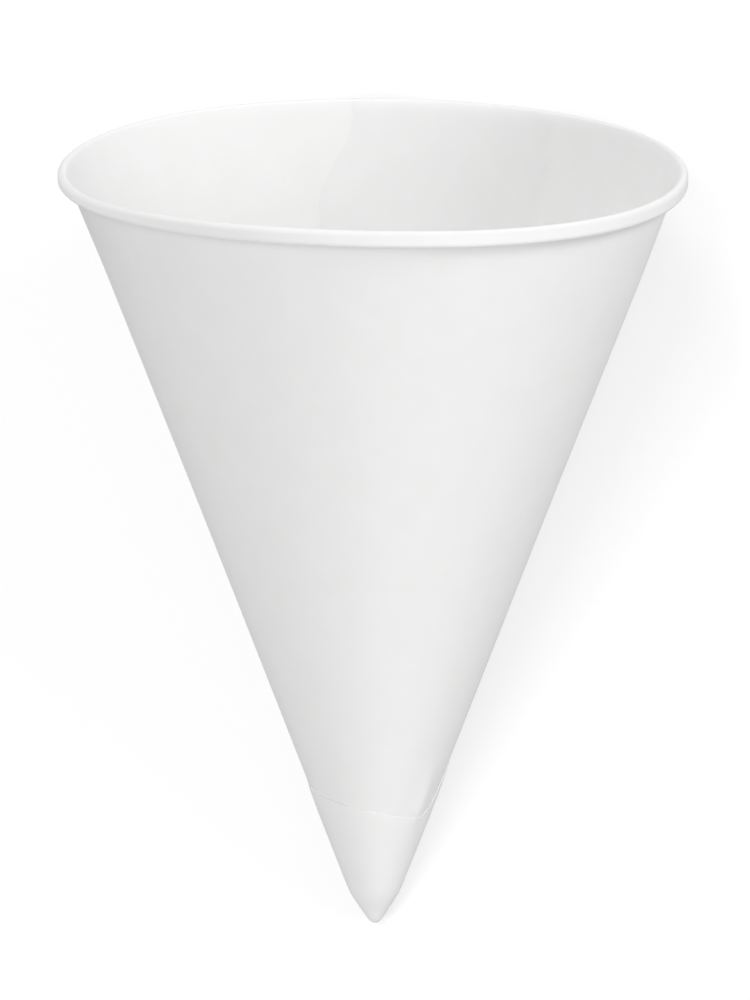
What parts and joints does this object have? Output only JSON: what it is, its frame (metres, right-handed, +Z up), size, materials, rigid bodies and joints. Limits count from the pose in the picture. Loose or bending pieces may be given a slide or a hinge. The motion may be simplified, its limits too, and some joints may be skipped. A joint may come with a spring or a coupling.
{
  "type": "cone paper cup",
  "caption": "Cone-shaped paper drinking cup, wound from a blank with a lapped seam, a tongue wrapped round the pointed tip and a rolled rim.",
  "frame": {"origin": "on the surface that the cup lies on, under the middle of its outline", "axes": "+Z up; +X from the tip towards the rim, along the line that the cup rests on; the cup's own axis rises by 21 degrees towards +X"},
  "size_m": [0.0998, 0.0736, 0.0688],
  "materials": {
    "paper": "matt"
  },
  "bodies": {
    "root": {"cone_cup": "paper"}
  },
  "joints": []
}
